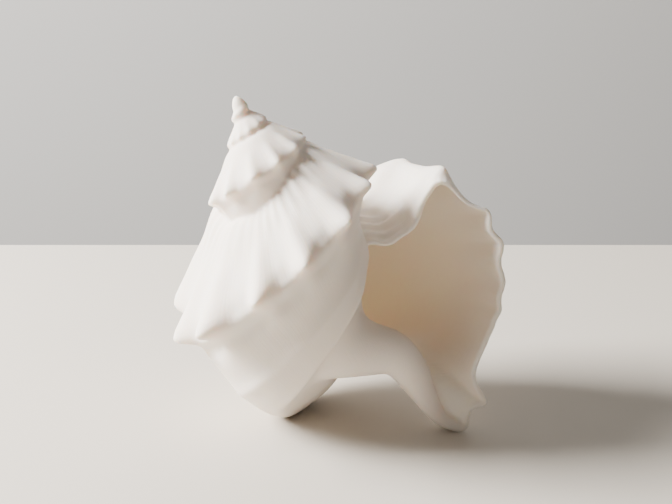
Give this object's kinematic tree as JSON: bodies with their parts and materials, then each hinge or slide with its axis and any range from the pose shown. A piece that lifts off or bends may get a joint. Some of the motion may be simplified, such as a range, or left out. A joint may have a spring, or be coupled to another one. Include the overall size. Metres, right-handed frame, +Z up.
{
  "type": "knobbed whelk shell",
  "caption": "Empty white knobbed whelk shell: stepped spire, ribbed ramps, row of shoulder knobs, wide scalloped mouth and short open canal, lying on its base and canal tip",
  "frame": {"origin": "on the surface the shell rests on, under the middle of its outline", "axes": "+Z up, the mouth faces -Y, the canal points to +X and down, the apex is up and to -X"},
  "size_m": [0.0962, 0.083, 0.0965],
  "materials": {
    "shell_wall": "matt chalk-white outside, warm ivory and satin inside the mouth"
  },
  "bodies": {
    "root": {"shell": "shell_wall"}
  },
  "joints": []
}
